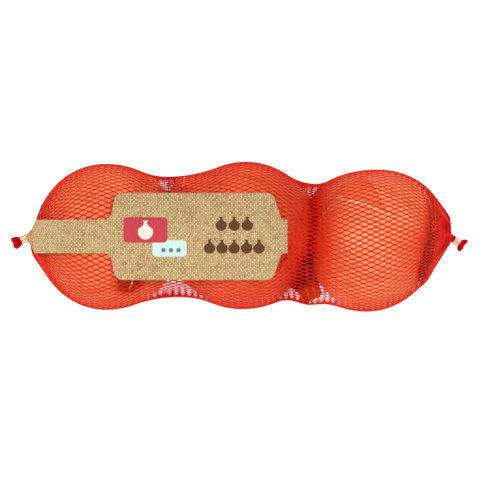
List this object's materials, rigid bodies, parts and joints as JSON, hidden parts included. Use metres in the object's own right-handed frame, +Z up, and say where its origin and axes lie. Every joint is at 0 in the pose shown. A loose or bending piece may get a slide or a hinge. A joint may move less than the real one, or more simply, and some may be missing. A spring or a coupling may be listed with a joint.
{
  "type": "bag of onions",
  "caption": "Lobed net sleeve packed with large onions, bunched and clipped at both ends, with a strapped label lying along its top.",
  "frame": {"origin": "middle of the flat spot on which the middle onion rests", "axes": "+X along the pack, from the end where the label is clipped to the other end; +Z up, label side up; +Y across the pack"},
  "size_m": [0.2569, 0.0834, 0.0822],
  "materials": {
    "netting": "thin knitted red plastic strands, satin",
    "onion_skin": "dry papery golden-orange skin with fine veins, satin",
    "label_paper": "matte paper printed all over with a tan sackcloth weave",
    "clip_metal": "satin, pale copper-coloured strip"
  },
  "bodies": {
    "root": {"net_sleeve": "netting", "label": "label_paper", "clip_left": "clip_metal", "clip_right": "clip_metal"}
  },
  "joints": []
}
